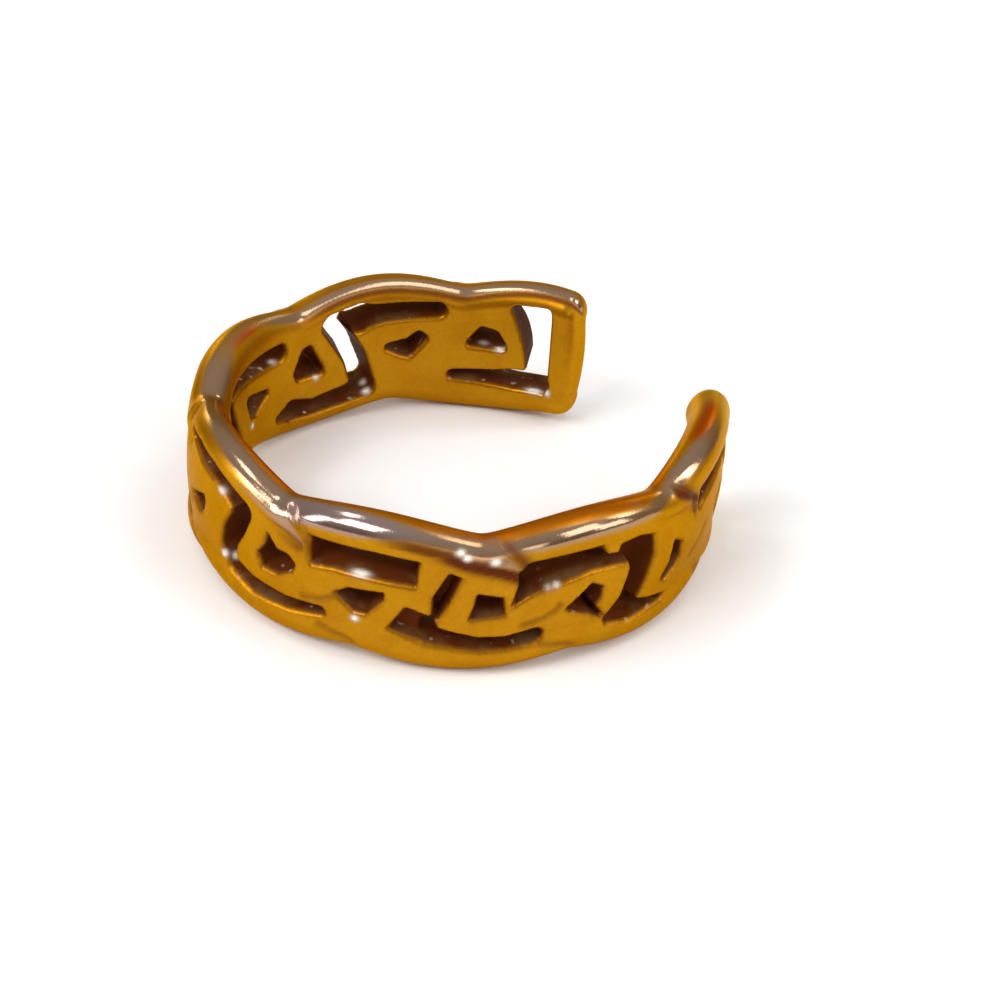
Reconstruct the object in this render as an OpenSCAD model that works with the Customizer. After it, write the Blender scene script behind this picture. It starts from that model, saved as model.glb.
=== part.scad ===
// Adjustable toe ring: one cast band, pierced with a repeating two-strand knot.
// The band lies on its side, its axis is Z, and its lowest scallops rest on z = 0.

/* [Ring] */
// Width of the toe hollow across the inside of the band
inside_d = 14.3; // [12:0.1:20]
// Thickness of the band from inside to outside
band_t = 1.34; // [1:0.02:1.8]
// Height of the band at its highest scallops
band_h = 5.15; // [4:0.05:7]
// Angle that stays open between the two ends
mouth_angle = 44.5; // [25:0.5:70]
// Direction in which the square end points, from the right
square_end_at = 61; // [40:0.5:80]

/* [Scalloped rims] */
// Depth of the dips in the upper rim
upper_dip = 0.47; // [0.1:0.01:0.7]
// Depth of the dips in the lower rim
lower_dip = 0.32; // [0.1:0.01:0.6]
// Height worn off the lower rim where it lies on a surface
rest_wear = 0.03; // [0.01:0.01:0.1]

/* [Ends] */
// Length of solid metal at the square end
square_bar = 0.75; // [0.5:0.05:2.5]
// Length of the window beside the square end
square_window = 1.4; // [0.8:0.05:2]
// Rounding of the square end's corners
square_round = 0.45; // [0.1:0.05:0.6]
// Length of solid metal at the blunt end
blunt_bar = 1.65; // [0.8:0.05:2.5]
// Length of the window beside the blunt end
blunt_window = 1.1; // [0.6:0.05:1.5]
// Rounding of the blunt end's corners
blunt_round = 0.9; // [0.3:0.05:1.2]
// How far the upper rim stands out of the round at the blunt end, where it was opened
blunt_spread = 0.5; // [0:0.05:0.8]

/* [Knotwork] */
// Repeats of the knot between the two ends
knots = 6; // [4:1:9]
// Depth of the grooves where one strand passes over the other
groove_depth = 0.3; // [0.1:0.05:0.6]
// Width of those grooves at the surface
groove_w = 0.34; // [0.2:0.02:0.6]
// Which repeat has a strand across the end of its bar, 0 for none
bridged = 4; // [0:1:9]
// Depth of the slit beside that strand
slit_depth = 0.75; // [0.3:0.05:1]

/* [Hidden] */

gold = [0.83, 0.62, 0.16];
inner_r = inside_d / 2;
outer_r = inner_r + band_t;
mid_r = inner_r + band_t / 2;
half_h = band_h / 2;
sweep = 360 - mouth_angle;

// An arc length along the outside of the band, as an angle at its centre
function arc(length) = length / outer_r * 180 / PI;

square_lead = arc(square_bar + square_window);
blunt_lead = arc(blunt_bar + blunt_window);
knot_turn = (sweep - square_lead - blunt_lead) / knots;
blunt_end_at = square_end_at + sweep;
first_slash_at = square_end_at + square_lead;

// Where the two rims dip, as a share of a repeat past each slash
upper_dip_at = 0.33;
lower_dip_at = 0.74;

// Facets of the band: angle between stations, sides of a rounded rim,
// stations in the rounding of an end
station_step = 3.6;
rim_sides = 9;
end_steps = 5;
dot_sides = 10;
cut_margin = 0.7;

// One repeat of the knot. A dot is [along, up, round]: along is a share of a
// repeat from the slash's middle, up and round are shares of half the height.
bar = [[-0.53, 0.44, 0.14], [-0.27, 0.47, 0.14], [-0.05, 0.45, 0.15], [0.11, 0.41, 0.13]];
slash = [[0.11, 0.41, 0.13], [0.03, 0.15, 0.15], [-0.03, -0.15, 0.15], [-0.1, -0.41, 0.14]];
foot = [[-0.1, -0.45, 0.12], [0, -0.52, 0.12], [0.25, -0.55, 0.11], [0.52, -0.49, 0.1]];
eye = [[0.21, -0.06, 0.08], [0.23, 0.1, 0.08], [0.35, 0.07, 0.08], [0.33, -0.08, 0.08]];
delta = [[-0.38, -0.08, 0.05], [-0.29, 0.01, 0.07], [-0.2, 0.01, 0.05], [-0.28, -0.24, 0.07]];

// In the bridged repeat the bar stops at a strand, and the slash is a blind slit
short_bar = [[-0.5, 0.42, 0.15], [-0.25, 0.45, 0.15], [-0.08, 0.41, 0.15]];
slit = [[0.13, 0.36, 0.07], [0.1, 0.18, 0.08], [0.06, 0, 0.07], [0.04, -0.24, 0.05]];

// The grooves of a crossing run from opening to opening
over_groove = [[0.36, 0.02], [0.47, 0.27]];
under_groove = [[-0.28, -0.3], [-0.13, -0.45]];

// The curved side of the window at the square end; the blunt end's is the same, turned about
loop_side = [[0.01, 0.57, 0.08], [-0.04, 0.32, 0.08], [-0.07, 0.1, 0.08], [-0.08, -0.2, 0.08],
    [-0.08, -0.44, 0.1]];

// The hand-cut pattern wanders. Each repeat has [along, lean, upper, middle, lower, eye, delta]:
// its shift along and its lean, the rise of its upper, middle and lower openings, and the
// shift of its eye and its delta among the others.
wander = [
    [0, 0, 0.14, 0.11, 0.08, -0.09, 0],
    [0.04, 0, 0.1, 0.07, -0.07, -0.02, -0.09],
    [0.02, 0, 0.03, 0, -0.02, 0, 0],
    [0.05, 0, 0.12, 0.02, 0.1, 0.02, 0],
    [0.07, 0, -0.02, 0, 0.01, 0, 0],
    [0.06, -0.12, 0, 0, -0.02, -0.01, 0],
    [0, 0, 0, 0, 0, 0, 0]
];

function wander_of(k) = wander[k % len(wander)];
function place(k, dot) =
    let (row = wander_of(k))
    first_slash_at + (k + row[0] + dot[0] + row[1] * dot[1]) * knot_turn;
function height(k, up) =
    let (row = wander_of(k), share = min(1, abs(up) / 0.45))
    up + row[3] + share * ((up > 0 ? row[2] : row[4]) - row[3]);
function moved(dots, along) = [for (dot = dots) [dot[0] + along, dot[1], dot[2]]];

// Edge of a scalloped rim, as height lost from its crest
function dip(angle, depth, share) =
    let (turns = (angle - first_slash_at) / knot_turn - share)
    depth * (1 - sin(180 * (turns - floor(turns))));

// What a rounded corner takes off at a distance from the end
function corner(distance, r) = distance >= r ? 0 : r - sqrt(r * r - (r - distance) * (r - distance));

function from_square(angle) = (angle - square_end_at) * PI / 180 * outer_r;
function from_blunt(angle) = (blunt_end_at - angle) * PI / 180 * outer_r;
function corners(angle) =
    corner(from_square(angle), square_round) + corner(from_blunt(angle), blunt_round);
function thinning(angle) =
    corner(from_square(angle), square_round / 2) + corner(from_blunt(angle), band_t / 2.2);

// How far a point of the band stands out of the round, more the higher it is
spread_turn = 45;
function spread(angle, up) =
    let (share = max(0, 1 - (blunt_end_at - angle) / spread_turn))
    blunt_spread * share * share * up / band_h;

// Stations from end to end, closer together where an end is rounded
end_shares = [for (i = [0 : end_steps - 1]) 1 - cos(90 * (i + 0.35) / end_steps)];
station_count = ceil(sweep / station_step);
stations = concat(
    [for (share = end_shares) square_end_at + arc(square_round * share)],
    [for (i = [1 : station_count - 1]) square_end_at + arc(square_round)
        + i * (sweep - arc(square_round + blunt_round)) / station_count],
    [for (i = [1 : end_steps]) blunt_end_at - arc(blunt_round * end_shares[end_steps - i])]
);

// Section of the band at a station: straight sides between two round rims
function section(angle) =
    let (
        t = band_t / 2 - thinning(angle),
        top = band_h - dip(angle, upper_dip, upper_dip_at) - corners(angle),
        bottom = -rest_wear + dip(angle, lower_dip, lower_dip_at) + corners(angle),
        turns = [for (i = [0 : rim_sides]) 180 * i / rim_sides]
    )
    concat(
        [for (a = turns) [mid_r + t * cos(a), top - t + t * sin(a)]],
        [for (a = turns) [mid_r - t * cos(a), bottom + t - t * sin(a)]]
    );

module band_blank() {
    rings = [for (angle = stations) [for (p = section(angle))
        let (r = p[0] + spread(angle, p[1])) [r * cos(angle), r * sin(angle), p[1]]]];
    n = len(rings[0]);
    last = len(rings) - 1;
    walls = [for (s = [0 : last - 1]) for (i = [0 : n - 1])
        let (j = (i + 1) % n) [s * n + i, s * n + j, s * n + n + j, s * n + n + i]];
    caps = [[for (i = [n - 1 : -1 : 0]) i], [for (i = [0 : n - 1]) last * n + i]];
    polyhedron([for (ring = rings) each ring], concat(walls, caps), convexity = 6);
}

// A dot of an opening, as a peg that points out through the band
module peg(angle, up, r, from = inner_r - cut_margin)
    rotate([0, 0, angle])
        translate([from, 0, half_h * (1 + up)])
            rotate([0, 90, 0])
                cylinder(h = outer_r + cut_margin - from, r = r * half_h, $fn = dot_sides);

module knot_peg(k, dot, from = inner_r - cut_margin)
    peg(place(k, dot), height(k, dot[1]), dot[2], from);

// An opening along a chain of dots
module stroke(k, dots, from = inner_r - cut_margin)
    for (i = [0 : len(dots) - 2])
        hull() {
            knot_peg(k, dots[i], from);
            knot_peg(k, dots[i + 1], from);
        }

// An opening that fills the space between its dots
module patch(k, dots)
    hull()
        for (dot = dots)
            knot_peg(k, dot);

// A window beside an end: it fills the space between a straight edge and the loop's side
module window(k, edge_at, side)
    for (i = [0 : len(side) - 2])
        hull()
            for (dot = [side[i], side[i + 1]]) {
                knot_peg(k, dot);
                peg(edge_at, height(k, dot[1]), loop_side[0][2]);
            }

// A groove in the outside of the band
module groove(k, dots)
    hull()
        for (dot = dots)
            peg(place(k, dot), height(k, dot[1]), groove_w / band_h, outer_r - groove_depth);

module openings() {
    edge_r = loop_side[0][2] * half_h;
    turned_side = [for (dot = loop_side) [-dot[0], -dot[1], dot[2]]];
    for (k = [0 : knots]) {
        across = k > 0 && k == bridged;
        if (k > 0) {
            stroke(k, across ? short_bar : bar);
            patch(k, moved(delta, wander_of(k)[6]));
            groove(k, under_groove);
        }
        if (k < knots) {
            stroke(k, foot);
            patch(k, moved(eye, wander_of(k)[5]));
            groove(k, moved(over_groove, wander_of(k)[5]));
        }
        if (k > 0 && k < knots && !across) stroke(k, slash);
        if (across) stroke(k, slit, outer_r - slit_depth);
    }
    window(0, square_end_at + arc(square_bar + edge_r), loop_side);
    window(knots, blunt_end_at - arc(blunt_bar + edge_r), turned_side);
}

// Everything below the surface that the ring lies on
module worn_away()
    translate([0, 0, -band_h])
        linear_extrude(band_h)
            square(3 * outer_r, center = true);

module knot_band()
    color(gold)
        difference() {
            band_blank();
            openings();
            worn_away();
        }

knot_band();
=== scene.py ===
import bpy
import bmesh
import math
import numpy as np
from mathutils import Matrix, Vector


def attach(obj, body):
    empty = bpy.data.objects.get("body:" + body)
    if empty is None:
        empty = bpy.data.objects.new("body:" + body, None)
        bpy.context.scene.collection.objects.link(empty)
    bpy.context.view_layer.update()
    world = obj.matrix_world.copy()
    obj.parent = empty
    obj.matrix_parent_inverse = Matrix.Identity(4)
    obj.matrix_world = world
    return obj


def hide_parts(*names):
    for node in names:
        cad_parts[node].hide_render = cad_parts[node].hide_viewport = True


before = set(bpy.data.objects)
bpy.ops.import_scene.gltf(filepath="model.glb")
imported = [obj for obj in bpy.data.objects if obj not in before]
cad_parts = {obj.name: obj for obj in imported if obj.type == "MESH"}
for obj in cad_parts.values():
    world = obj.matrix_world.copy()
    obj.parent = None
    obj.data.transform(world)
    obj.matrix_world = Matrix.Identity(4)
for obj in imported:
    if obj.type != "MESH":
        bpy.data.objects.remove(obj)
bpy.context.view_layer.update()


# The band's blank
# The ring is one casting of gilded silver, squeezed open at the back right: a straight-sided
# strip between two round rims that rise and dip with the knot. Sizes are in millimetres.
INSIDE, WALL, HEIGHT = 7.15, 1.34, 5.15
OUTSIDE, MIDDLE, HALF = INSIDE + WALL, INSIDE + WALL / 2, HEIGHT / 2
SQUARE_END, BLUNT_END = 61.0, 376.3
MOUTH = (SQUARE_END + BLUNT_END - 360) / 2
FIRST_DIP_ABOVE, FIRST_DIP_BELOW, REPEAT, REPEATS = 90.8, 110.3, 47.0, 6
DIP_ABOVE, DIP_BELOW, DIP_ROUND = 0.47, 0.32, 0.012
SPREAD, SPREAD_TURN, BULGE = 0.65, 45, 0.13


def share_of(value, low, high):
    """0 up to low, 1 from high, and a smooth rise between them."""
    part = np.clip((value - low) / (high - low), 0, 1)
    return part * part * (3 - 2 * part)


def scallop(turn, first_dip, depth):
    """How far a rim stands below its crest. The dips are narrow, as where two arcs meet."""
    share = (turn - first_dip) / REPEAT
    wave = np.abs(np.sin(np.pi * share))
    return depth * (1 - np.sqrt(wave * wave + DIP_ROUND)) / (1 - math.sqrt(DIP_ROUND))


def rims(turn):
    """Heights of the two rims' edges above the band's mid-height."""
    above = HALF - scallop(turn, FIRST_DIP_ABOVE, DIP_ABOVE)
    below = HALF - scallop(turn, FIRST_DIP_BELOW, DIP_BELOW)
    return above, -below


def opened(turn, up):
    """How far the band stands out of the round: opened at the blunt end, bulged on the left."""
    share = np.clip(1 - (BLUNT_END - turn) / SPREAD_TURN, 0, 1)
    tilt = 0.35 + 0.65 * share_of(up, -2.6, 0.4)
    bulge = share_of(turn, 118, 155) * (1 - share_of(turn, 195, 228))
    return SPREAD * share * share * tilt + BULGE * bulge


def square_end(up):
    """The square end's edge: it bows a little and runs back at the bottom."""
    return SQUARE_END - 1.8 + 0.18 * (up - 0.7) ** 2


def bend(turn, out, up):
    """A point of the band from its turn in degrees, its radius and its height."""
    angle = math.radians(turn)
    return Vector((out * math.cos(angle), out * math.sin(angle), up))


def put_in_scene(bm, name):
    """The finished bmesh as an object of the scene."""
    mesh = bpy.data.meshes.new(name)
    bm.to_mesh(mesh)
    bm.free()
    made = bpy.data.objects.new(name, mesh)
    bpy.context.scene.collection.objects.link(made)
    return made


blank = bmesh.new()
bmesh.ops.create_circle(blank, segments=40, radius=WALL / 2, cap_ends=True)
for v in blank.verts:
    across, along = v.co.x, v.co.y
    v.co = Vector((MIDDLE + across, 0, along + math.copysign(1, along) * (HALF - WALL / 2)))
start = blank.verts[:] + blank.edges[:] + blank.faces[:]
bmesh.ops.spin(blank, geom=start, cent=(0, 0, 0), axis=(0, 0, 1),
               angle=math.radians(BLUNT_END - SQUARE_END), steps=200)
for v in blank.verts:
    turn = math.degrees(math.atan2(v.co.y, v.co.x)) % 360
    turn += SQUARE_END - 360 * (turn > 350)
    turn += (square_end(v.co.z) - SQUARE_END) * max(0, 1 - (turn - SQUARE_END) / 4)
    out = math.hypot(v.co.x, v.co.y)
    above, below = rims(turn)
    up = v.co.z - (HALF - above) * (v.co.z > 0) + (HALF + below) * (v.co.z < 0)
    v.co = bend(turn, out + opened(turn, up), up)
bmesh.ops.recalc_face_normals(blank, faces=blank.faces)
band = put_in_scene(blank, "toe_ring")


# The knotwork
# The openings of the knot were cut through the wax before it was cast. A stroke is a chain of
# dots [turn, height, radius], and a pocket is [radius, corners].
STROKES = [
    [(68.6, -.98, .36), (76, -1.05, .36), (82, -1.12, .27), (93, -1.15, .2)],
    [(98, 1.42, .31), (112, 1.43, .36), (115, 1.42, .39), (120, 1.38, .58),
     (128.3, 1.36, .42), (124.3, .5, .4), (121.5, -.1, .4), (118.5, -1.35, .42),
     (125, -1.55, .35), (135, -1.65, .3), (142, -1.45, .38), (147, -1.5, .12)],
    [(147, 1.05, .35), (155, 1.12, .35), (168, 1.2, .35), (177.5, 1.06, .33), (174.5, .39, .36),
     (171.5, -.39, .36), (168.5, -1.1, .34), (172, -1.34, .3), (182, -1.42, .28),
     (194.5, -1.26, .22)],
    [(197.5, 1.75, .25), (204, 1.72, .38), (211.5, 1.62, .36), (217, 1.42, .35),
     (222.3, 1.05, .42), (221, .5, .4), (218.6, -.1, .4), (217.7, -.7, .4), (219.5, -1.12, .36),
     (226, -1.36, .3), (236, -1.32, .22), (244.4, -1.12, .18)],
    [(268, -1.14, .36), (272, -1.28, .31), (278, -1.45, .25), (284, -1.45, .24),
     (290.3, -1.25, .27)],
    [(338.4, .86, .18), (340.4, 1.06, .25), (345, 1.15, .27), (351, 1.2, .3), (357, 1.2, .33)],
]
POCKETS = [
    [.16, (67.6, 1.84), (76.2, 1.72), (73.8, 1.0), (72.4, .45), (71.6, 0), (71.2, -.5),
     (71.0, -1.15), (67.6, -1.2)],
    [.15, (80, .16), (82, .58), (85.4, .68), (88.4, .16)],
    [.14, (101.6, .3), (103, .44), (106, .17), (111.3, .05), (107.8, -.2), (105.5, -.3)],
    [.16, (132.2, -.3), (136.2, .66), (137.4, .62), (139.9, -.05), (139.2, -.25)],
    [.15, (152.6, -.2), (161.8, .07), (159.5, -.55), (157.4, -.6)],
    [.15, (179.8, -.13), (180.5, .3), (186.6, .23), (185.8, -.24)],
    [.12, (199.6, -.24), (206.9, .24), (206, -.2), (204, -.36)],
    [.04, (230.6, .82), (230.1, .4), (228.1, -.02), (229.3, -.42), (233.3, -.38), (237.3, -.03),
     (238, .26), (236.3, .45), (233.2, .46)],
    [.04, (241.2, 1.38), (247, 1.45), (256, 1.5), (265.3, 1.41), (264.9, .62), (254, .66),
     (247.8, .67), (242.4, .55)],
    [.04, (248.2, -.24), (251, .06), (258.3, .15), (258.2, -.08), (254.7, -.7), (252.2, -.7)],
    [.05, (277.9, .38), (282.7, .24), (283.2, -.34), (276.6, -.46), (277.6, .04)],
    [.04, (286.4, 1.08), (289, 1.34), (293, 1.43), (298.5, 1.48), (304.5, 1.48), (306.2, 1.08),
     (309.2, 1.03), (309.9, 1.28), (314.4, 1.32), (319, 1.1), (319.4, .43), (317.6, -.27),
     (315.2, -1.05), (319, -1.28), (324.6, -1.5), (324.2, -1.6), (318.9, -1.6), (312.8, -1.63),
     (307.2, -1.44), (306.7, -1.27), (310.6, -.58), (312.7, .35), (312.3, .6), (308, .72),
     (302.3, .8), (296, .62), (292.2, .48), (288.5, .3), (285.2, 0), (286.3, .6)],
    [.04, (297.1, -.43), (302.5, .24), (305.1, .02), (305, -.36), (303.7, -.62), (306.2, -1.16),
     (303.2, -.88), (298, -.56)],
    [.05, (326.9, .36), (329.9, .06), (329.8, -.4), (328, -.64), (324.4, -.9), (323.1, -.72),
     (325.6, -.3)],
    [.12, (350, -.2), (353.6, .1), (353, -.5), (351.5, -.6)],
    [.16, (357.5, 1.2), (364.2, 1.2), (364.2, -1.75), (359.4, -1.7), (359.0, -.9), (358.4, 0),
     (357.5, .6)],
]
# Two more beside the bridged bar don't reach through: [depth from outside, radius, corners]
BLIND = [
    [.5, .04, (259.8, -1.1), (263.3, -.24), (268.6, -.5), (270, -1.0), (269, -1.48),
     (262.8, -1.24)],
    [.7, .04, (271.9, 1.08), (274, .95), (271.7, .08), (269.6, -.5), (268.9, -.46),
     (268.9, .24)],
]
THROUGH, MARGIN, CORE_MARGIN, LIFT = 2.5, 1.2, 1.6, 0.3
ALL_POCKETS = [[THROUGH] + row for row in POCKETS] + BLIND


def in_front(turn):
    """1 in the front, where an opening's floor rises inwards, and 0 in the back."""
    return share_of(turn, 150, 190) * (1 - share_of(turn, 345, 360))


def lifted(turn, up, out):
    """The openings slant: their floors rise inwards in the front and outwards in the back."""
    front, through = in_front(turn), (out - INSIDE) / WALL
    return LIFT * (front * (1 - through) + (1 - front) * through) * (1 - share_of(up, 0.7, 1.8))


def stroke_cutter(bm, dots, low):
    """Straight plugs that together fill a stroke, each the hull of one link of its chain."""
    for link in zip(dots, dots[1:]):
        verts = []
        for turn, up, radius in link:
            sideways = Vector((-math.sin(math.radians(turn)), math.cos(math.radians(turn)), 0))
            for out in (low, OUTSIDE + MARGIN):
                made = bmesh.ops.create_circle(bm, segments=14, radius=radius)["verts"]
                for v in made:
                    side, rise = v.co.x, v.co.y
                    v.co = bend(turn, out, up + rise + lifted(turn, up + rise, out))
                    v.co += side * sideways
                verts += made
        hull = bmesh.ops.convex_hull(bm, input=verts)
        spare = dict.fromkeys(hull["geom_interior"] + hull["geom_unused"])
        spare = [g for g in spare if isinstance(g, bmesh.types.BMVert)]
        bmesh.ops.delete(bm, geom=spare, context="VERTS")


def pocket_core(bm, corners, low):
    """The plug between a pocket's corners: a flat outline, drawn outwards."""
    face = bm.faces.new([bm.verts.new(bend(turn, low, up)) for turn, up in corners])
    drawn = bmesh.ops.extrude_face_region(bm, geom=[face])["geom"]
    ends = [v for v in drawn if isinstance(v, bmesh.types.BMVert)]
    for verts, out in ((face.verts[:], low), (ends, OUTSIDE + CORE_MARGIN)):
        for v in verts:
            turn = math.degrees(math.atan2(v.co.y, v.co.x)) % 360
            turn += 360 * (turn < MOUTH)
            v.co = bend(turn, out, v.co.z + lifted(turn, v.co.z, out))


cutter = bmesh.new()
for dots in STROKES:
    stroke_cutter(cutter, dots, INSIDE - MARGIN)
for depth, radius, *corners in ALL_POCKETS:
    around = [(turn, up, radius) for turn, up in corners]
    stroke_cutter(cutter, around + around[:1], OUTSIDE - depth)
    pocket_core(cutter, corners, OUTSIDE - depth)
bmesh.ops.recalc_face_normals(cutter, faces=cutter.faces)
plugs = put_in_scene(cutter, "openings")

pierce = band.modifiers.new("pierce", "BOOLEAN")
pierce.operation = "DIFFERENCE"
pierce.solver = "EXACT"
pierce.use_self = True
pierce.object = plugs
cast = band.modifiers.new("cast", "REMESH")
cast.mode = "VOXEL"
cast.voxel_size = 0.093
cast.use_smooth_shade = True
pierced = bpy.data.meshes.new_from_object(
    band.evaluated_get(bpy.context.evaluated_depsgraph_get()))
band.modifiers.clear()
bpy.data.objects.remove(plugs)


# The polish
# The casting is fettled and tumbled: faces run true, rims are round, and each opening has a
# softened edge. Every vertex is drawn onto that surface, and evened along it in between.
EDGE, BLIND_EDGE, WEB_EDGE, RIM_FILLET = 0.12, 0.1, 0.35, 0.12
SQUARE_ROUND, BLUNT_ROUND, THICKER = 0.5, 0.7, 0.07
OUTER_FACE, INNER_FACE, CROWN, CROWN_HALF = 0.6, 0.64, 0.09, 1.3
NARROWER, WIDER = 0.14, 0.34
FAR, REACH = 9.0, 1.0
# Where a rim's strand passes over the next one, from its dip: [turn, height] down its edge, and
# down the crease that runs in under it from the left
OVER = [(-2.7, 2.45), (.8, 2.2), (4.3, 1.85), (7.2, 1.4), (8.3, .95)]
UNDER = [(-35.7, 1.85), (-24, 2.03), (-16, 1.95), (-9, 1.74), (-3.5, 1.45), (3.2, 1.18),
         (7.1, .97)]
# Other creases of the outside, where one strand meets the next, on the fourth repeat's turns
CREASES = [
    [(240.5, -.78), (244.9, -.6), (247.5, -.38), (248.4, -.2)],
    [(244.4, -1.56), (247, -1.66), (250.3, -1.72), (252, -1.85)],
]


def to_link(turn, up, out, start, end):
    """Distance to the straight link between two dots, the share of it that is run along, and
    a number above 0 on one side of it and below 0 on the other."""
    x, y = np.radians(turn - start[0]) * out, up - start[1]
    dx, dy = math.radians(end[0] - start[0]) * out, end[1] - start[1]
    run = np.clip((x * dx + y * dy) / (dx * dx + dy * dy), 0, 1)
    return np.hypot(x - run * dx, y - run * dy), run, dx * y - dy * x


def to_stroke(turn, up, out, dots):
    """Distance to a stroke's wall, less than 0 inside the opening."""
    best = np.full(turn.shape, REACH)
    for start, end in zip(dots, dots[1:]):
        away, run, side = to_link(turn, up, out, start, end)
        best = np.minimum(best, away - (start[2] + run * (end[2] - start[2])))
    return best


def to_pocket(turn, up, out, radius, corners):
    """Distance to a pocket's wall: that to its outline of corners, grown by its radius."""
    best = np.full(turn.shape, FAR)
    inside = np.ones(turn.shape)
    for start, end in zip(corners, corners[1:] + corners[:1]):
        away, run, side = to_link(turn, up, out, start, end)
        best = np.minimum(best, away)
        level = (up >= start[1]) != (up >= end[1])
        inside = np.where(level & ((side > 0) == (end[1] > start[1])), -inside, inside)
    return best * inside - radius


def along_line(turn, up, out, points):
    """Distance to a drawn line, which side of it that is, and the share run along it."""
    best, sides, runs = np.full(turn.shape, FAR), np.zeros(turn.shape), np.zeros(turn.shape)
    for i, (start, end) in enumerate(zip(points, points[1:])):
        away, run, side = to_link(turn, up, out, start, end)
        nearer = away < best
        best = np.where(nearer, away, best)
        sides = np.where(nearer, np.sign(side), sides)
        runs = np.where(nearer, (i + run) / (len(points) - 1), runs)
    return best, sides, runs


def relief(turn, up, out):
    """How far the crossings are sunk into the outside, and how much tarnish and painted shade
    darkens them.
    """
    sunk, crease_tarnish_and_shade = np.zeros(turn.shape), np.zeros(turn.shape)
    for k in range(REPEATS):
        dip = FIRST_DIP_ABOVE + k * REPEAT
        here = np.abs(turn - dip) < 40
        past, high, wide = turn[here] - dip, up[here], out[here]
        away, side, run = along_line(past, high, wide, OVER)
        beside = np.where(side > 0, share_of(away, 0, 0.25), 0) * share_of(high, 0.9, 1.4)
        step = beside * np.exp(-away / 0.7) * 0.18
        # Painted shade with tarnish beside the strand that passes over, down into the crossing
        crossing_shade = 0.85 * np.exp(-((away - 0.16 * side) / 0.22) ** 2) * share_of(run, 0.1, 0.45)
        crossing_shade *= share_of(turn[here], 205, 285)
        away, side, run = along_line(past, high, wide, UNDER)
        # The crease under it is sunk a little and darkened as painted shade with tarnish
        crease = np.exp(-(away / 0.2) ** 2) * share_of(run, 0.35, 0.65)
        shade = np.minimum(1.5 * crease, 1) * share_of(turn[here], 228, 246)
        shade *= k < REPEATS - 1
        sunk[here] = np.maximum(sunk[here], np.maximum(step, 0.08 * crease))
        crease_tarnish_and_shade[here] = np.maximum(crease_tarnish_and_shade[here], np.maximum(crossing_shade, shade))
        for line in CREASES:
            moved = [(at + (k - 3) * REPEAT, height) for at, height in line]
            here = np.abs(turn - moved[1][0]) < 12
            away, side, run = along_line(turn[here], up[here], out[here], moved)
            # Each of these creases is sunk a little and darkened as painted shade with tarnish
            crease = np.exp(-(away / 0.12) ** 2)
            sunk[here] = np.maximum(sunk[here], 0.05 * crease)
            crease_tarnish_and_shade[here] = np.maximum(crease_tarnish_and_shade[here], 0.5 * crease)
    outside = share_of(out, MIDDLE + 0.05, MIDDLE + 0.4)
    return sunk * outside, crease_tarnish_and_shade * outside


def softened(a, b, radius):
    """The surface that both a and b leave, with a round edge where they meet."""
    return np.where((a > -radius) & (b > -radius),
                    np.hypot(np.maximum(a + radius, 0), np.maximum(b + radius, 0)) - radius,
                    np.maximum(a, b))


def joined(a, b, radius):
    """Two forms run together with a fillet."""
    part = np.clip(0.5 + 0.5 * (b - a) / radius, 0, 1)
    return b + part * (a - b) - radius * part * (1 - part)


def close_to(turn, dots):
    """Where an opening's wall may be near."""
    turns = [dot[0] for dot in dots]
    return (turn > min(turns) - 10) & (turn < max(turns) + 10)


def to_opening(turn, up, out):
    """Distance to the nearest opening of the knot. The openings are a little narrower on the
    side of the band that the photograph doesn't show, and the square end's window is wider."""
    best = np.full(turn.shape, REACH)
    up = up - lifted(turn, up, out)
    for dots in STROKES:
        here = close_to(turn, dots)
        best[here] = np.minimum(best[here], to_stroke(turn[here], up[here], out[here], dots))
    for depth, radius, *corners in ALL_POCKETS:
        here = close_to(turn, corners)
        wall = to_pocket(turn[here], up[here], out[here], radius, corners)
        floor = OUTSIDE - depth - out[here]
        best[here] = np.minimum(best[here], softened(wall, floor, BLIND_EDGE))
    front, through = in_front(turn), np.clip((out - INSIDE) / WALL, 0, 1)
    back = NARROWER - WIDER * (1 - share_of(turn, 78, 92))
    return best + NARROWER * front * (1 - through) + back * (1 - front) * through


def unrolled(points):
    """The turn, height and radius of points, with the band's opening out taken back."""
    turn = np.degrees(np.arctan2(points[:, 1], points[:, 0])) % 360
    turn = np.where(turn < MOUTH, turn + 360, turn)
    up = points[:, 2]
    return turn, up, np.hypot(points[:, 0], points[:, 1]) - opened(turn, up)


def to_blank(turn, up, out):
    """Distance to the unpierced band: a slightly crowned strip between two round rims."""
    above, below = rims(turn)
    half = WALL / 2 + THICKER * share_of(turn, BLUNT_END - 13, BLUNT_END - 5)
    crown = OUTER_FACE + CROWN * np.clip(1 - (up / CROWN_HALF) ** 2, 0, 1)
    web = softened(np.maximum(out - MIDDLE - crown, MIDDLE - INNER_FACE - out),
                   np.maximum(up - above + half, below + half - up), WEB_EDGE)
    skin = np.hypot(out - MIDDLE, up - above + half) - half
    skin = np.minimum(skin, np.hypot(out - MIDDLE, up - below - half) - half)
    skin = joined(skin, web, RIM_FILLET) + relief(turn, up, out)[0]
    skin = softened(skin, np.radians(square_end(up) - turn) * out, SQUARE_ROUND)
    return softened(skin, np.radians(turn - BLUNT_END) * out, BLUNT_ROUND)


def to_metal(points):
    """Distance to the finished metal, less than 0 inside it."""
    turn, up, out = unrolled(points)
    skin = to_blank(turn, up, out)
    return softened(skin, -to_opening(turn, up, out), EDGE)


def slope(points, value):
    """Which way that distance rises, and how steeply."""
    step = 0.004
    grad = np.empty_like(points)
    for axis in range(3):
        moved = points.copy()
        moved[:, axis] += step
        grad[:, axis] = (to_metal(moved) - value) / step
    return grad


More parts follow.
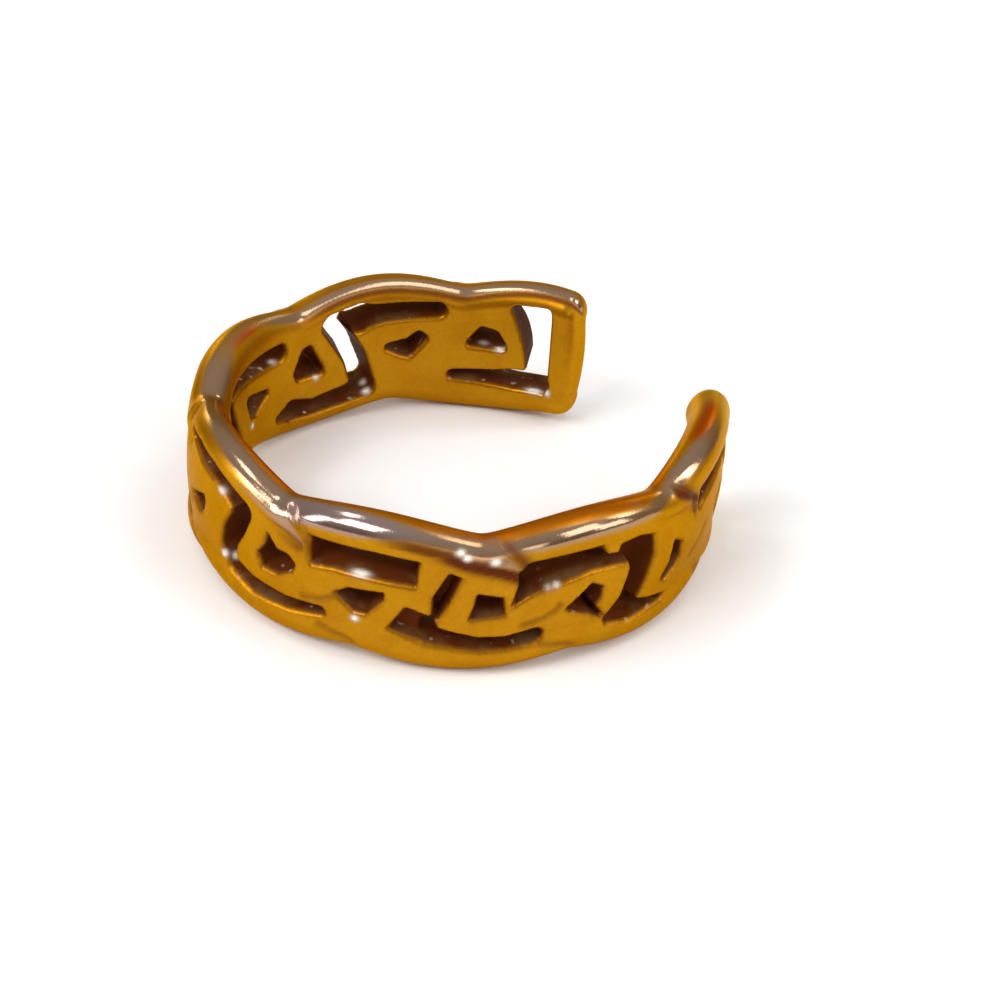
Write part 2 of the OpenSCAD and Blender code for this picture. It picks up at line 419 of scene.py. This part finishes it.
points = np.empty(len(pierced.vertices) * 3)
pierced.vertices.foreach_get("co", points)
points = points.reshape(-1, 3)
drawing = bmesh.new()
drawing.from_mesh(pierced)
for evened in (0, 2, 2, 2, 2, 0):
    value = to_metal(points)
    grad = slope(points, value)
    size = np.maximum((grad * grad).sum(axis=1), 0.25)
    move = np.clip(-value, -0.1, 0.1) / size
    points += move[:, None] * grad
    if evened:
        for v, spot in zip(drawing.verts, points.tolist()):
            v.co = spot
        for _ in range(evened):
            bmesh.ops.smooth_vert(drawing, verts=drawing.verts, factor=0.5,
                                  use_axis_x=True, use_axis_y=True, use_axis_z=True)
        points = np.array([tuple(v.co) for v in drawing.verts])
drawing.free()
normals = slope(points, to_metal(points))
normals /= np.linalg.norm(normals, axis=1)[:, None]
pierced.vertices.foreach_set("co", ((points + (0, 0, HALF)) / 1000).ravel())


# The wear, tarnish and painted light
# Wear has bared the silver along the upper rim, and tarnish stays in the openings and the
# crossings; painted reflections, painted shade and painted highlights are laid on as colour
# too.
# Each vertex holds, as shares from 0 to 1, how far each of these goes there.
SKIN = 0.06
# The silvery band along the upper rim, both bared silver and a painted reflection of the room,
# by turn: [turn, lean round the rim, half width, amount]
CREST = [
    (61, 106, 16, 1), (78, 114, 15, 1), (92, 118, 14, 1), (105, 124, 13, 1),
    (130, 122, 14, 1), (141, 126, 16, .9), (148, 116, 18, .7), (155, 100, 18, .3),
    (167, 98, 20, .4), (176, 108, 40, .9), (184, 104, 34, .9), (192, 98, 20, .6),
    (203, 90, 22, .9), (212, 80, 24, 1), (222, 66, 30, 1), (238, 52, 36, 1),
    (252, 46, 35, 1), (265, 49, 16, 1), (281, 46, 16, 1), (290, 34, 22, 1),
    (309, 29, 19, 1), (318, 34, 16, .7), (325, 70, 18, .7), (333, 75, 28, 1),
    (343, 66, 24, 1), (349, 54, 21, .65), (354, 50, 20, .35), (359, 50, 20, 0),
]
# Two painted reflections of the ring's own gold, as bronze patches on the upper rim:
# [first turn, last turn, lean, width]
REFLECTED_PATCHES = [(150, 170, 118, 15), (340, 370, 90, 27)]
# A painted shadow: a dark notch in the crossing by the blunt end
NOTCH_SHADOW = [(328.3, 1.95), (331.5, 1.7), (336.5, 1.2)]
# Painted highlights: small bright spots, most of them inside openings:
# [turn, height, radius, length, brightness]
HIGHLIGHT_SPOTS = [
    (253.3, .67, 8.33, .24, 1), (252.6, -.93, 8.42, .11, .9), (214.4, 1.17, 8.37, .15, .6),
    (215.9, -1.03, 8.41, .11, .8), (217.1, -1.11, 8.12, .11, .7), (117.1, -1.66, 7.36, .13, 1),
    (116.9, -1.51, 7.73, .11, .7), (159.9, -.93, 7.18, .09, .7), (80.4, .03, 7.31, .15, 1),
    (85.1, .08, 7.51, .14, .4), (69.9, -1.34, 7.3, .26, 1), (65.6, -1.24, 7.2, .09, .9),
    (148.5, .78, 7.37, .14, .6), (133.7, -.49, 7.2, .09, .5), (294.2, .54, 8.4, .1, .6),
    (292.5, .48, 8.39, .09, .4), (273.8, 1.91, 8.38, .12, .9), (275.2, 1.75, 8.46, .12, .9),
    (280.9, 1.62, 8.48, .13, .9),
]
HIGHLIGHT_SPOT_SIZE = 0.1

turn, up, out = unrolled(points)
depth = -to_blank(turn, up, out)
beside = to_opening(turn, up, out)
crease_tarnish_and_shade = relief(turn, up, out)[1]
lean = np.degrees(np.arctan2(up - rims(turn)[0] + WALL / 2, out - MIDDLE))

# The crest of bared silver and painted reflection, with the tongue that it sends down the
# front of each crossing
crest_turns, *crest_rows = zip(*CREST)
middle, half, amount = (np.interp(turn, crest_turns, row) for row in crest_rows)
gap = np.abs(lean - middle)
crest = amount * (1 - share_of(gap, half - 9, half + 11))
past = (turn - FIRST_DIP_ABOVE + REPEAT / 2) % REPEAT - REPEAT / 2
tongue = share_of(past, -14, -4) * (1 - share_of(past + 5.1 * (up - 2.2), 2.0, 3.4))
tongue *= share_of(up + 0.045 * past, 1.36, 1.62) * share_of(out, MIDDLE, MIDDLE + 0.3)
tongue *= (turn < BLUNT_END - 60) & (turn > 200)
crest = np.maximum(crest, 0.7 * tongue) * (depth < SKIN)
# Painted highlight tint: a cooler silver where the front's main lamp highlight falls, so that
# it reads white
cool = share_of(turn, 226, 242) * (1 - share_of(turn, 258, 272))

# The painted bronze reflection of the ring's own gold on the crest's inner side, its patches,
# and the painted brightening of the blunt end in yellow
edge = share_of(lean, middle + half - 5, middle + half + 20) * (1 - share_of(lean, 150, 170))
flush = 0.8 * edge * share_of(turn, 185, 200) * (1 - share_of(turn, 330, 345))
flush *= 1 - 0.6 * share_of(turn, 225, 240) * (1 - 0.5 * share_of(turn, 255, 275))
for start, end, near, wide in REFLECTED_PATCHES:
    patch = share_of(turn, start, start + 8) * (1 - share_of(turn, end - 9, end))
    flush += patch * (1 - share_of(np.abs(lean - near), 0.3 * wide, 1.4 * wide))
flush *= depth < SKIN
# Painted light: the blunt end is painted a brighter yellow, as its rim reflects only the dim
# room
tip = share_of(turn, BLUNT_END - 26, BLUNT_END - 12) * (depth < SKIN)

# The dark oxide in the openings, the tarnish and painted shade of the creases, the painted dark
# reflections beside the back's crest and under the front rim's crest, the painted notch shadow,
# and a brown rim round each opening
# Painted dark reflections of the room: beside the back's crest, and in a band under the front
# rim's crest
painted_dark_reflection = share_of(gap, 10, 20) * (1 - share_of(gap, 26, 42)) * (1 - share_of(turn, 128, 148))
painted_dark_reflection *= 0.6 + 0.25 * (lean > middle)
late = share_of(turn, 272, 278)
dark = share_of(lean, -6, 6) * (1 - share_of(lean, 22 - 10 * late, 36 - 14 * late))
painted_dark_reflection = np.maximum(painted_dark_reflection, 0.9 * dark * share_of(turn, 254, 265) * (1 - share_of(turn, 279, 287)))
# The painted notch shadow
notch_shadow = np.exp(-(along_line(turn, up, out, NOTCH_SHADOW)[0] / 0.19) ** 4) * (out > MIDDLE)
# Oxide tarnish deep in the openings, joined with the painted shade, dark reflections and notch
# shadow
recess = np.maximum(share_of(depth, 0.02, 0.16), np.maximum(crease_tarnish_and_shade, np.maximum(painted_dark_reflection, notch_shadow)))
halo = 0.7 * (1 - share_of(beside, 0.0, 0.16)) * (depth < 0.1)

# Painted light: the openings' floors that face up are painted lighter near the outside, with
# sparkles, and bright spots are painted on as highlights
glint = share_of(normals[:, 2], 0.35, 0.8) * share_of(depth, 0.03, 0.12)
glint *= 1 - share_of(depth, 0.25, 0.65)
# The painted highlight spots
speck = np.zeros(turn.shape)
for at, high, wide, long, bright in HIGHLIGHT_SPOTS:
    away = (np.radians(turn - at) * out / long) ** 2 + ((up - high) / HIGHLIGHT_SPOT_SIZE) ** 2
    away += ((out - wide) / HIGHLIGHT_SPOT_SIZE) ** 2
    speck = np.maximum(speck, bright * np.minimum(1.6 * np.exp(-away), 1))
# The painted highlight spots are made matt, as the tarnish is
recess = np.maximum(recess, speck)

marks = {"recess": recess, "halo": halo, "crest": crest, "cool": cool, "tip": tip,
         "flush": flush, "glint": glint, "speck": speck}
for name, values in marks.items():
    pierced.attributes.new(name, "FLOAT", "POINT").data.foreach_set("value", values)
pierced.update()
old_mesh = band.data
band.data = pierced
bpy.data.meshes.remove(old_mesh)
for polygon in band.data.polygons:
    polygon.use_smooth = True
band.data.normals_split_custom_set_from_vertices(normals.tolist())


# The metal
# Silver with a warm yellow gilding, polished on the rims, a little grainy on the faces and
# brown round the openings, with tarnish of a dull dark oxide. Painted light is laid on too:
# bronze reflections, a brighter tip, reflections on the crest, painted shade, lit floors and
# highlight spots.
class Socket:
    """A shader value that sums work on, each adding its Math node."""
    def __init__(self, tree, link):
        self.tree, self.link = tree, link

    def math(self, operation, other, swap=False):
        node = self.tree.nodes.new("ShaderNodeMath")
        node.operation = operation
        for socket, value in zip(node.inputs, (other, self) if swap else (self, other)):
            if isinstance(value, Socket):
                self.tree.links.new(value.link, socket)
            else:
                socket.default_value = value
        return Socket(self.tree, node.outputs[0])

    def __add__(self, other): return self.math("ADD", other)
    def __radd__(self, other): return self.math("ADD", other)
    def __sub__(self, other): return self.math("SUBTRACT", other)
    def __rsub__(self, other): return self.math("SUBTRACT", other, swap=True)
    def __mul__(self, other): return self.math("MULTIPLY", other)
    def __rmul__(self, other): return self.math("MULTIPLY", other)


class Finish:
    """A material's or the room's nodes, and the one way that they are made."""
    def __init__(self, owner):
        owner.use_nodes = True
        self.owner, self.tree = owner, owner.node_tree
        self.shader = self.tree.nodes.get("Principled BSDF") or self.tree.nodes["Background"]

    def node(self, kind, settings=None, output=0, **values):
        made = self.tree.nodes.new(kind)
        for key, value in (settings or {}).items():
            if key == "stops":
                ramp = made.color_ramp
                while len(ramp.elements) < len(value):
                    ramp.elements.new(0.5)
                for stop, (position, colour) in zip(ramp.elements, value):
                    stop.position, stop.color = position, colour
            else:
                setattr(made, key, value)
        for key, value in values.items():
            sockets = [s for s in made.inputs if s.name.replace(" ", "_") == key and s.enabled]
            self.put(sockets[0], value)
        return Socket(self.tree, made.outputs[output])

    def put(self, socket, value):
        if isinstance(value, Socket):
            self.tree.links.new(value.link, socket)
        else:
            socket.default_value = value

    def blend(self, factor, a, b):
        made = self.tree.nodes.new("ShaderNodeMix")
        made.data_type = "RGBA"
        self.put(made.inputs["Factor"], factor)
        self.put(made.inputs[6], a)
        self.put(made.inputs[7], b)
        return Socket(self.tree, made.outputs[2])


# The yellow, the bronze, the cooler silver, the olive, the sparkle and the bright white are
# painted light; the oxide colour serves both tarnish and painted shade
gold, orange, tip_lit_yellow = (0.50, 0.235, 0.007, 1), (0.41, 0.165, 0.004, 1), (0.60, 0.33, 0.006, 1)
reflected_bronze, brown = (0.48, 0.078, 0.006, 1), (0.20, 0.055, 0.006, 1)
silver, highlight_silver = (0.36, 0.235, 0.15, 1), (0.34, 0.25, 0.23, 1)
oxide_and_shade, floor_glint_olive = (0.10, 0.021, 0.004, 1), (0.19, 0.12, 0.05, 1)
sparkle, bright = (0.8, 0.72, 0.6, 1), (0.95, 0.9, 0.8, 1)

metal = Finish(bpy.data.materials.new("gilded_silver"))
recess, halo, crest, cool, tip, flush, glint, speck = (
    metal.node("ShaderNodeAttribute", {"attribute_name": name}, output=2) for name in marks)
where = metal.node("ShaderNodeTexCoord", output=3)
cloud = metal.node("ShaderNodeTexNoise", Vector=where, Scale=900.0, Detail=4.0, Roughness=0.6)
patchy = metal.node("ShaderNodeMapRange", Value=cloud, From_Min=0.42, From_Max=0.62)
grain = metal.node("ShaderNodeTexNoise", Vector=where, Scale=9000.0, Detail=3.0, Roughness=0.6)
grainy = metal.node("ShaderNodeMapRange", Value=grain, From_Min=0.3, From_Max=0.7)
# Noise for the painted sparkles on the openings' floors
blobs = metal.node("ShaderNodeTexNoise", Vector=where, Scale=3200.0, Detail=0.0)
spark = metal.node("ShaderNodeMapRange", Value=blobs, From_Min=0.72, From_Max=0.84)
colour = metal.blend(patchy * 0.4 + grainy * 0.5, gold, orange)
# Painted light: a brighter yellow at the blunt end
colour = metal.blend(tip * 0.8, colour, tip_lit_yellow)
# Painted reflection of the ring's own gold, in bronze
colour = metal.blend(flush, colour, reflected_bronze)
# Bared silver and painted reflection of the room along the crest
colour = metal.blend(crest, colour, metal.blend(cool, silver, highlight_silver))
colour = metal.blend(halo * (0.5 + grainy * 0.5), colour, brown)
# Oxide for tarnish, and the same dark colour for painted shade and dark reflections
colour = metal.blend(recess, colour, oxide_and_shade)
# Painted light on the openings' upward floors, with painted sparkles
colour = metal.blend(glint * patchy * 0.45, colour, floor_glint_olive)
colour = metal.blend(glint * spark * 0.5, colour, sparkle)
# Painted highlight spots
colour = metal.blend(speck, colour, bright)
metal.put(metal.shader.inputs["Base Color"], colour)
metal.put(metal.shader.inputs["Metallic"], 1 - recess * 0.92)
metal.put(metal.shader.inputs["Specular IOR Level"], 0.05)
metal.put(metal.shader.inputs["Specular Tint"], (1.0, 0.75, 0.45, 1))
metal.put(metal.shader.inputs["Roughness"], 0.34 + recess * 0.2 + grain * 0.08 - crest * 0.25)
bump = metal.node("ShaderNodeBump", Height=grain, Strength=0.15, Distance=0.00002)
metal.put(metal.shader.inputs["Normal"], bump)
band.data.materials.clear()
band.data.materials.append(metal.owner)
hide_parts("knot_band")
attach(band, "root")


# The table
# The ring lies on a plain sheet of pale paper, far wider than the photograph's view.
# From here on, sizes are in metres.
table = bmesh.new()
bmesh.ops.create_grid(table, x_segments=1, y_segments=1, size=0.6)
floor = put_in_scene(table, "floor")
paper = Finish(bpy.data.materials.new("pale_paper"))
paper.put(paper.shader.inputs["Base Color"], (0.93, 0.935, 0.94, 1))
paper.put(paper.shader.inputs["Roughness"], 0.8)
floor.data.materials.append(paper.owner)


# The light
# A soft studio: a pale room with ten soft lamps round the ring, each in a direction that one of
# the rims' highlights reflects: [turn, elevation, width and height in degrees, power].
LAMPS = [
    (221, 45, 30, 26, .32), (192, 23, 15, 32, .2), (325, 34, 24, 24, .14),
    (343, 17, 20, 16, .08), (8, 36, 13, 16, .09), (286, 12, 20, 18, .05),
    (160, 62, 16, 9, .055), (4, 67, 20, 14, .06), (118, 14, 12, 10, .04), (70, 22, 8, 8, .02),
]
LAMP_FAR = 0.3
for number, (turn, elevation, wide, tall, power) in enumerate(LAMPS):
    turn, elevation = math.radians(turn), math.radians(elevation)
    light = bpy.data.lights.new("lamp_%d" % number, "AREA")
    light.shape, light.energy = "RECTANGLE", power
    light.size = 2 * LAMP_FAR * math.tan(math.radians(wide / 2))
    light.size_y = 2 * LAMP_FAR * math.tan(math.radians(tall / 2))
    lamp = bpy.data.objects.new(light.name, light)
    lamp.location = LAMP_FAR * Vector((math.cos(elevation) * math.cos(turn),
                                       math.cos(elevation) * math.sin(turn),
                                       math.sin(elevation)))
    lamp.rotation_euler = (-lamp.location).to_track_quat("-Z", "Y").to_euler()
    bpy.context.scene.collection.objects.link(lamp)
room = Finish(bpy.data.worlds.new("room"))
bpy.context.scene.world = room.owner
toward = room.node("ShaderNodeTexCoord", output=0)
height = room.node("ShaderNodeSeparateXYZ", Vector=toward, output=2)
sky = room.node("ShaderNodeValToRGB", {"stops": [
    (0.0, (0.24, 0.19, 0.16, 1)), (0.3, (0.30, 0.26, 0.23, 1)), (0.5, (0.42, 0.40, 0.38, 1)),
    (1.0, (0.56, 0.55, 0.55, 1))]}, Fac=height)
room.put(room.shader.inputs["Color"], sky)
room.put(room.shader.inputs["Strength"], 1.0)
bpy.context.scene.view_settings.view_transform = "Standard"
bpy.context.scene.view_settings.exposure = 0.3


# The camera
# It looks down at the ring at 33 degrees, a little rolled, as the photograph was taken. The
# focal length is in pixels of a picture that is 1000 wide.
PITCH, ROLL, FAR_OFF = math.radians(32.93), math.radians(4.02), 0.085
FOCAL, SENSOR, MOVED_RIGHT, MOVED_DOWN = 2612, 36, 0.00159, 0.00131
ahead = Vector((0, math.cos(PITCH), -math.sin(PITCH)))
side = Vector((1, 0, 0))
rise = side.cross(ahead)
across = side * math.cos(ROLL) + rise * math.sin(ROLL)
upward = rise * math.cos(ROLL) - side * math.sin(ROLL)
ring_middle = Vector((0, 0, HALF / 1000))
camera = bpy.data.objects.new("camera", bpy.data.cameras.new("camera"))
camera.data.lens = FOCAL / 1000 * SENSOR
camera.data.sensor_width = SENSOR
camera.data.clip_start = 0.005
turned = Matrix((across, upward, -ahead)).transposed().to_4x4()
turned.translation = ring_middle - ahead * FAR_OFF + side * MOVED_RIGHT - rise * MOVED_DOWN
camera.matrix_world = turned
bpy.context.scene.collection.objects.link(camera)
bpy.context.scene.camera = camera
